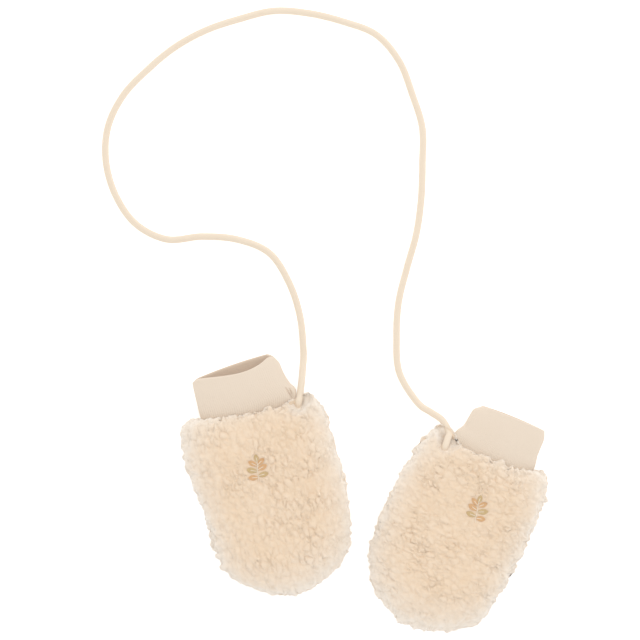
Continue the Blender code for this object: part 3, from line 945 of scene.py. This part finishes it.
def paint_sherpa(wire):
    # Real patches of warmer and paler colour, and painted shade: the creases between the pillows are warmer and
    # darker.
    colour = blend(wire, attribute(wire, "crest_light") * 0.35 + mottle(wire, 45.0) * 0.65, SHERPA_WARM, SHERPA_PALE)
    # Painted highlight: the mitten's sides, in patches, are blended towards the pale rim colour.
    rim = wire.node("ShaderNodeClamp", {}, {0: attribute(wire, "edge") * (0.55 + mottle(wire, 130.0) * 0.9)})
    colour = blend(wire, rim, colour, SHERPA_RIM_HIGHLIGHT)
    fibres = mottle(wire, 1400.0, 3.0)
    return {"Base Color": colour, "Normal": rough(wire, fibres, 0.35, 0.0003), "Roughness": 0.85 + fibres * 0.15}


sherpa_finish = finish("sherpa", paint_sherpa, Sheen_Weight=0.8, Sheen_Roughness=0.6, Specular_IOR_Level=0.1)

# %% [markdown]
# ## The embroidered sprig
#
# Each back carries a small sprig of leaves in tan, olive and cream thread. Embroidery on a deep pile is stitched
# tight, so the pile lies flat under it and the motif sits in a hollow. The leaves are fishbone stitch: short
# stitches run from the middle of the leaf out to its edge, one beside the other. The stem and the veins are lines
# of short stitches end to end.
#
# Each stitch is drawn as a short arched line on the pile's own face, and Geometry Nodes sweep a thread along all
# of them at once.

# %% The sprig's drawing
# From the sprig's middle, first across the mitten, then towards the cuff, in steps of SPRIG_SCALE.
LEAVES = (
    # foot, tip, half width, thread
    ((-1.0, -4.8), (-6.6, -3.4), 1.55, "tan"),
    ((-0.8, -3.8), (5.2, -4.0), 1.55, "olive"),
    ((-0.5, -1.2), (-6.2, 1.6), 1.65, "olive"),
    ((-0.2, -0.4), (5.8, 0.9), 1.65, "tan"),
    ((0.3, 2.0), (-3.8, 5.8), 1.45, "tan"),
    ((0.6, 2.4), (5.4, 5.0), 1.35, "tan"),
    ((1.0, 4.0), (1.3, 8.6), 1.30, "olive"),
)
STEM = ((-2.0, -7.4), (-1.1, -5.0), (-0.6, -2.2), (0.0, 0.4), (0.6, 2.6), (1.0, 4.0))
SPRIGS = {"left": (0.0324, -0.0034), "right": (0.0320, -0.0016)}  # along and across, on each back
SPRIG_SCALE = 0.00094
THREAD = 0.00036
STITCH_PITCH = 0.00031
STITCH_HOLLOW = 0.0009
STEM_STITCH, VEIN_STITCH = 1.1, 0.9
VEIN = (0.05, 0.3, 0.62)  # the places on a leaf's length that its vein runs through
LINE_STEPS = 6
LEAF_PLACES, STEM_PLACES = 9, 24  # where the pile is held down


def sprig_point(side, point):
    """Points of the drawing, laid on a mitten as seen from above."""
    along, across = SPRIGS[side]
    aside, down = point[..., 0] * SPRIG_SCALE, point[..., 1] * SPRIG_SCALE
    return in_place(MITTENS[side], along - down, across + aside, np.zeros(point.shape[:-1]))


print("leaves:", len(LEAVES), "and the left stem's foot at", sprig_point("left", np.array(STEM[0])).round(4))


# %% The sprig's stitches
def leaf_half(t, half):
    """A leaf's half width at a share t of its length: pointed at both ends, widest before the middle."""
    return half * np.sin(math.pi * t**0.85) ** 0.8


def sprig_places(side):
    """Where the pile is stitched down, as x, y and half width."""
    found = []
    for foot, tip, half, thread in LEAVES:
        t = np.linspace(0.0, 1.0, LEAF_PLACES)
        middle = sprig_point(side, np.array(foot) + (np.array(tip) - foot) * t[:, None])
        found += [(x, y, width) for (x, y, z), width in zip(middle, leaf_half(t, half) * SPRIG_SCALE)]
    stem = sprig_point(side, evenly(smooth_rows(STEM, LINE_STEPS), STEM_PLACES))
    return found + [(x, y, THREAD) for x, y, z in stem]


def leaf_stitches(foot, tip, half):
    """Fishbone stitches: lines from the middle of a leaf out to its edge, and a little towards its tip."""
    foot, tip = np.array(foot), np.array(tip)
    length = np.linalg.norm(tip - foot)
    onward = (tip - foot) / length
    side = np.array([-onward[1], onward[0]])
    count = round(length * SPRIG_SCALE / STITCH_PITCH)
    lines = []
    for t in (np.arange(count) + 0.5) / count:
        middle = foot + (tip - foot) * t
        out = leaf_half(t, half)
        lines += [(middle, middle + side * out * way + onward * out * 0.5) for way in (-1, 1)]
    return lines


def running_stitches(points, length):
    """Short stitches end to end along a line."""
    line = smooth_rows(points, LINE_STEPS)
    count = round(lengths(line)[-1] / length)
    knots = evenly(line, count + 1)
    return list(zip(knots, knots[1:]))


sprig_lines = {"tan": [], "olive": [], "cream": running_stitches(STEM, STEM_STITCH)}
for foot, tip, half, thread in LEAVES:
    sprig_lines[thread] += leaf_stitches(foot, tip, half)
    vein = np.array(foot) + (np.array(tip) - foot) * np.array(VEIN)[:, None]
    sprig_lines["cream"] += running_stitches(vein, VEIN_STITCH)
print("stitches on each back:", {thread: len(lines) for thread, lines in sprig_lines.items()})

# %% The stitches on the pile
STITCH_STEPS = 5
STITCH_ARCH = 0.00022
THREAD_SIDES = 5
LIFTS = {"tan": 0.45, "olive": 0.45, "cream": 0.95}  # over the pile, in threads: the cream lies on the others


def on_face(face, places, above):
    """The places, lifted to the pile's face."""
    flat = face.reshape(-1, 3)
    found = []
    for place in places:
        nearest = ((flat[:, :2] - place[:2]) ** 2).sum(axis=1).argmin()
        found.append((place[0], place[1], flat[nearest, 2]))
    return np.array(found) + np.column_stack([np.zeros((len(found), 2)), above])


def stitch_line(side, face, start, end, lift):
    t = np.linspace(0.0, 1.0, STITCH_STEPS)
    flat = sprig_point(side, np.array(start) + (np.array(end) - start) * t[:, None])
    return on_face(face, flat, lift + STITCH_ARCH * np.sin(math.pi * (0.08 + 0.84 * t)))


def thread_path(inputs):
    """A thread swept along every stitch."""
    thread = swept(inputs, inputs, circle_of(inputs, THREAD_SIDES), inputs.also("Thickness") / 2)
    return finished(inputs, smoothed(inputs, thread))


thread_tree = tree_of("stitches", ("Thickness", "Material"), thread_path)

# %% The threads' finishes
THREADS = {
    "tan": ((0.68, 0.40, 0.19), (0.82, 0.55, 0.31)),
    "olive": ((0.62, 0.44, 0.21), (0.72, 0.56, 0.32)),
    "cream": ((0.90, 0.78, 0.62), (0.96, 0.88, 0.76)),
}


def paint_thread(low, high):
    def paint(wire):
        twist = mottle(wire, 2600.0, 2.0)
        return {
            "Base Color": blend(wire, mottle(wire, 700.0), low, high), "Normal": rough(wire, twist, 0.3, 0.0001),
            "Roughness": 0.45 + twist * 0.2,
        }
    return paint


thread_finishes = {
    name: finish(f"{name}_thread", paint_thread(low, high), Sheen_Weight=0.3, Specular_IOR_Level=0.4)
    for name, (low, high) in THREADS.items()
}


# %% The sprig on a mitten
def embroidered(side, face):
    """The sprig on one mitten, a piece for each thread."""
    for thread, lines in sprig_lines.items():
        lift = THREAD * LIFTS[thread]
        curve = drawn_line(f"{side}_{thread}", [stitch_line(side, face, start, end, lift) for start, end in lines])
        piece = grown(
            f"{side}_sprig_{thread}", curve, thread_tree, {"Thickness": THREAD, "Material": thread_finishes[thread]}
        )
        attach(piece, "root")
        print(piece.name, triangles(piece), "triangles")


print("pieces in each sprig:", len(sprig_lines))

# %% [markdown]
# ## The four sherpa pieces
#
# With the grid, the two trees and the sprig ready, each panel is made in turn. The backing cloth stands for the
# solid, and the pile and its fibres belong to it. The right mitten also has the end of the cord lying on its pile.

# %% One panel's numbers, and its backing
BACKING_WALL = 0.0014
STITCHED_DOWN = 0.0014  # how far from a stitch the pile stands up again
FLAT_SHARE = 0.06  # what its relief keeps under the stitches
CURLS = {
    "Curl Size": 0.0031, "Stretch": 1.7, "Swirl": 1.3, "Pillow": 0.0010, "Crease": 0.0006, "Lumps": 0.0026,
    "Wool": 0.0003,
}
LIES = {"left": math.radians(70.0), "right": math.radians(35.0)}
FUZZ = {"Nap Length": 0.0009, "Fibre Length": 0.0019, "Width": 0.00004, "Seed": 4}
FIBRES = {"back": (1500000.0, 520000.0), "palm": (600000.0, 220000.0)}  # nap and loose fibres on a square metre


def stretch(start, end):
    """The part of the cord's route between two lengths along it."""
    return route[(lengths(route) > start) & (lengths(route) < end)]


def off_the_table(piece):
    """Lifts whatever the curls and fibres push through the table."""
    places = np.array([vertex.co for vertex in piece.data.vertices])
    places[:, 2] = places[:, 2].clip(ABOVE_TABLE)
    piece.data.vertices.foreach_set("co", places.ravel())


def backing_cloth(side, panel, upper):
    """The knitted sheet under one panel's pile."""
    name, grid = f"{side}_{panel}_cloth", backing_grid(MITTENS[side], upper)
    if upper:
        grid = under_cord(grid, CORD_ON_PILE[side], PILE_DEPTH)
    cloth = shown(name, sheet_mesh(name, grid, upper))
    cloth.data.materials.append(sherpa_finish)
    wall = cloth.modifiers.new("thickness", "SOLIDIFY")
    wall.thickness = BACKING_WALL
    wall.offset = -1.0
    return cloth


# Where the cord lies on the pile: near its start on the left mitten, and near its end on the right one.
CORD_ON_PILE = {"left": stretch(0.0040, 0.0095), "right": stretch(CORD_LENGTH - 0.0215, CORD_LENGTH - 0.0045)}
print("points of the cord on the pile:", {side: len(line) for side, line in CORD_ON_PILE.items()})

# %% Sherpa on the frame
for (side, panel), face in faces.items():
    upper = panel == "back"
    rise = relief_share(face, upper)
    if upper:
        standing = away_from(face, sprig_places(side), STITCHED_DOWN)
        face = face - outward(face, upper) * (STITCH_HOLLOW * (1 - standing))[..., None]
        face = under_cord(face, CORD_ON_PILE[side], 0.0)
        rise = rise * (FLAT_SHARE + (1 - FLAT_SHARE) * standing)
        embroidered(side, face)
    pile = grown(
        f"{side}_{panel}_pile", pile_mesh(f"{side}_{panel}_face", face, rise, upper), relief_tree,
        {**CURLS, "Lie": LIES[side], "Material": sherpa_finish},
    )
    nap, fibres = FIBRES[panel]
    fuzz_piece = grown(
        f"{side}_{panel}_fuzz", pile.data.copy(), fuzz_tree,
        {**FUZZ, "Nap": nap, "Fibres": fibres, "Material": sherpa_finish},
    )
    off_the_table(pile)
    off_the_table(fuzz_piece)
    cloth = backing_cloth(side, panel, upper)
    print(pile.name, triangles(pile), "and", fuzz_piece.name, triangles(fuzz_piece), "triangles")
    for piece in (cloth, pile, fuzz_piece):
        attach(piece, "root")
    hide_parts(f"{side}_{panel}")

# %% [markdown]
# ## The cuffs
#
# A cuff is a tube of rib knit, folded back into itself at the mouth, so that its wall is two layers and its edge is
# a soft fold. Ninety-six ribs run round it. Near the seam the sherpa gathers the knit and the ribs stand up, and
# towards the mouth they are stretched nearly flat.
#
# The tube is drawn ring by ring from the same rows that cut the solid, with each rib raised in the rings, so
# the ribs are real. The rows of stitches are too fine for that, so they are a bump that follows the knit on a UV
# map, one unit for each rib and each course.

# %% One ring of a cuff
RIBS = 96
RIB_POINTS = 4
ROUND_CORNERS = {"left": (0.0010, 0.0030), "right": (0.0, 0.0)}  # at the mouth: the free side, the cord side
ROUND_FROM = 0.84
RING_SAMPLES = 2400
PULLED_ASIDE = 0.55  # how much more the mouth's upper edge is drawn back beside the cord


def cuff_ring(side, row, t, inset, past, count):
    """One ring of a cuff, from the free side over the top to the cord side and back below."""
    mitten = MITTENS[side]
    ring = dict(zip(CUFF_COLUMNS, row))
    share = shares(RING_SAMPLES)
    across = across_at(ring["free"] - inset, ring["cord"] - inset, share)
    corner = ((np.abs(share) - ROUND_FROM) / (1 - ROUND_FROM)).clip(0.0) ** 2
    rounding = np.where(share < 0, *ROUND_CORNERS[side]) * corner * max(0.0, 4 * t - 3)
    along = cuff_line(ring, across) - past + rounding
    drawn = ring["pulled"] * (1 - share**2) * (1 + PULLED_ASIDE * share)
    lens_shape = rounded(share, CUFF_ROUNDING)
    top = in_place(mitten, along + drawn, across, ring["middle"] + (ring["rise"] - inset) * lens_shape)
    under = in_place(mitten, along, across, ring["middle"] - (ring["drop"] - inset) * lens_shape)
    return np.vstack([evenly(top, count // 2 + 1)[:-1], evenly(under[::-1], count // 2 + 1)[:-1]])


print("points in a ring:", RIBS * RIB_POINTS)

# %% Ribs and creases
# Creases in the left cuff beside the cord, from the first x and y to the second.
CREASES = {"left": (((-0.0433, 0.0589), (-0.0384, 0.0511)), ((-0.0412, 0.0584), (-0.0389, 0.0538))), "right": ()}
CREASE_WIDTH = 0.0004


def grooves(count):
    """Round a ring, from 0 on each rib to 1 in the groove beside it."""
    return 0.5 - 0.5 * np.cos(2 * math.pi * np.arange(count) / RIB_POINTS)


def ribbed(ring, height):
    """The ring with its ribs: the wales stand at their full size and the grooves between them are drawn in."""
    edge = np.roll(ring, -1, axis=0) - np.roll(ring, 1, axis=0)
    out = np.cross(edge, (0.0, 1.0, 0.0))
    out /= np.linalg.norm(out, axis=1, keepdims=True)
    away = math.copysign(1.0, ((ring - ring.mean(axis=0)) * out).sum())
    return ring - out * away * height * grooves(len(ring))[:, None]


def crease_share(ring, lines):
    """How deep each point of a ring lies in the creases, from 0 to 1. Only its upper half is creased."""
    share = np.zeros(len(ring))
    for start, end in np.array(lines).reshape(-1, 2, 2):
        onward = end - start
        t = ((ring[:, :2] - start) @ onward / (onward @ onward)).clip(0.0, 1.0)
        off = np.linalg.norm(ring[:, :2] - start - t[:, None] * onward, axis=1)
        share = np.maximum(share, np.exp(-((off / CREASE_WIDTH) ** 2)) * np.sin(math.pi * (0.2 + 0.7 * t)))
    share[len(ring) // 2:] = 0.0
    return share


print("grooves of two ribs:", grooves(2 * RIB_POINTS).round(1))

# %% All the rings, and the skin over them
RIB_RISE = 0.00042
RIB_AT_MOUTH = 0.15  # of its height at the seam
# Painted shade in the grooves between the ribs, deepest at the seam.
RIB_SHADE = {"left": 0.45, "right": 0.12}  # how dark the grooves are at the seam
COURSE = 0.00085  # one row of stitches
CREASE_DEPTH = 0.0009
OUTER_STEPS, INNER_STEPS = 14, 4  # rings from one row of numbers to the next
FOLD_TURNS = (0.2, 0.4, 0.6, 0.8)  # rings on the fold, as shares of its half turn
FOLD_SHARE = 0.35  # how far the fold stands out, in walls


def cuff_rings(side, count):
    """Rings down the outside, over the fold and up the inside, and how much painted shade each point takes."""
    outer, inner = (smooth_rows(MITTENS[side]["cuff"], steps) for steps in (OUTER_STEPS, INNER_STEPS))
    rings, shade = [], []
    for t, row in zip(np.linspace(0.0, 1.0, len(outer)), outer):
        ring = ribbed(cuff_ring(side, row, t, 0.0, 0.0, count), RIB_RISE * (1 - (1 - RIB_AT_MOUTH) * t**0.5))
        crease = crease_share(ring, CREASES[side])
        ring[:, 2] -= CREASE_DEPTH * crease
        # Painted shade in the creases and in the grooves near the seam.
        shade.append(np.maximum(crease, RIB_SHADE[side] * (1 - t) ** 2 * grooves(count)))
        rings.append(ring)
    for turn in FOLD_TURNS:
        inset = CUFF_WALL / 2 * (1 - math.cos(math.pi * turn))
        rings.append(cuff_ring(side, outer[-1], 1.0, inset, CUFF_WALL * FOLD_SHARE * math.sin(math.pi * turn), count))
    for t, row in zip(np.linspace(1.0, 0.0, len(inner)), inner[::-1]):
        rings.append(cuff_ring(side, row, t, CUFF_WALL, 0.0, count))
    # Painted shade inside the cuff, deepening over the first rings past the fold.
    for step in range(len(rings) - len(outer)):
        shade.append(np.full(count, min(1.0, max(0.0, step - 1.0) / 4.0)))
    rings = np.array(rings)
    rings[..., 2] = rings[..., 2].clip(0.0)
    return rings, np.concatenate(shade)


def cuff_mesh(name, rings, shade):
    """A closed skin over the rings, with a UV map of one unit for each rib and each course."""
    total, count = rings.shape[:2]
    down = lengths(rings.mean(axis=1)) / COURSE
    corners = np.arange(total * count).reshape(total, count)
    across, onward = np.roll(corners, -1, axis=1), np.roll(corners, -1, axis=0)
    both = np.roll(onward, -1, axis=1)
    quads = np.stack([corners, across, both, onward], axis=-1).reshape(-1, 4)
    mesh = mesh_of(name, rings, quads.tolist())
    u = np.arange(count) / RIB_POINTS
    v = np.append(down, down[-1] + 1.0)
    grid_u = np.stack([u, u + 1 / RIB_POINTS, u + 1 / RIB_POINTS, u], axis=-1)[None].repeat(total, axis=0)
    grid_v = np.stack([v[:-1], v[:-1], v[1:], v[1:]], axis=-1)[:, None].repeat(count, axis=1)
    mesh.uv_layers.new(name="knit").data.foreach_set("uv", np.stack([grid_u, grid_v], axis=-1).ravel())
    mesh.attributes.new("shade", "FLOAT", "POINT").data.foreach_set("value", shade)
    turned_out(mesh)
    return mesh


print("rings from seam to mouth:", len(smooth_rows(LEFT_CUFF, OUTER_STEPS)))

# %% The cuffs' finish
KNIT_CREAM = (0.790, 0.665, 0.535)
KNIT_PALE = (0.820, 0.710, 0.592)
# The colour of painted shade: inside the cuff, in its creases and in the rib grooves.
KNIT_SHADE = (0.66, 0.52, 0.40)


def paint_knit(wire):
    map_of_knit = wire.node("ShaderNodeUVMap", {"uv_map": "knit"})
    parts = wire.node("ShaderNodeSeparateXYZ", {}, {0: map_of_knit})
    leg = wire.maths("ABSOLUTE", parts.maths("FRACT", parts) * 2 - 1)
    course = (parts.also(1) + leg * 0.5) * (2 * math.pi)
    stitch = (0.5 + wire.maths("COSINE", course) * 0.5) * (1 - leg ** 3)
    yarn = mottle(wire, 1200.0, 3.0)
    colour = blend(wire, mottle(wire, 40.0) * 0.5 + yarn * 0.25 + stitch * 0.25, KNIT_CREAM, KNIT_PALE)
    # Painted shade, by the stored shade of each point.
    colour = blend(wire, attribute(wire, "shade"), colour, KNIT_SHADE)
    height = stitch * 0.7 + yarn * 0.3
    return {"Base Color": colour, "Normal": rough(wire, height, 0.45, 0.0002), "Roughness": 0.82 + yarn * 0.15}


knit_finish = finish("rib_knit", paint_knit, Sheen_Weight=0.3, Sheen_Roughness=0.5, Specular_IOR_Level=0.2)

for side in MITTENS:
    cuff = shown(f"{side}_rib_cuff", cuff_mesh(f"{side}_rib_cuff", *cuff_rings(side, RIBS * RIB_POINTS)))
    cuff.data.materials.append(knit_finish)
    print(cuff.name, triangles(cuff), "triangles")
    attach(cuff, "root")
    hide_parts(f"{side}_cuff")

# %% [markdown]
# ## The table and the light
#
# A plain near-white table and one large soft light high beyond the loop of the cord, with bright even light from
# all round, as in a white studio. The table glows a little, so that it stays white under the pieces' soft shadows.

# %% Table
TABLE_GREY = ((0.93, 0.93, 0.93), (0.95, 0.95, 0.95))
TABLE_GLOW = 0.38
FAR = 3.0  # from the middle of the table to its sides


def paint_table(wire):
    return {"Base Color": blend(wire, mottle(wire, 3.0), *TABLE_GREY)}


corners = [(-FAR, -FAR, 0), (FAR, -FAR, 0), (FAR, FAR, 0), (-FAR, FAR, 0)]
floor = shown("table", mesh_of("table", corners, [(0, 1, 2, 3)]))
floor.data.materials.append(
    finish("table", paint_table, Roughness=0.9, Emission_Color=(1.0, 1.0, 1.0, 1.0), Emission_Strength=TABLE_GLOW)
)
print("table:", [round(side, 1) for side in floor.dimensions], "m")


# %% Light
ALL_ROUND = 0.92


def softbox(name, place, aim, side, power):
    """A square lamp that looks at a place."""
    lamp = bpy.data.lights.new(name, "AREA")
    lamp.shape = "SQUARE"
    lamp.size = side
    lamp.energy = power
    item = bpy.data.objects.new(name, lamp)
    item.location = place
    item.rotation_euler = (Vector(aim) - Vector(place)).to_track_quat("-Z", "Y").to_euler()
    bpy.context.scene.collection.objects.link(item)


softbox("key", place=(0.6, 1.6, 2.2), aim=(0.0, 0.1, 0.0), side=1.6, power=14.8)
world = bpy.data.worlds.new("studio")
world.use_nodes = True
background = world.node_tree.nodes["Background"].inputs
background["Color"].default_value = (1.0, 1.0, 1.0, 1.0)
background["Strength"].default_value = ALL_ROUND
bpy.context.scene.world = world
bpy.context.scene.view_settings.view_transform = "Standard"
print("lights:", [lamp.name for lamp in bpy.data.lights])

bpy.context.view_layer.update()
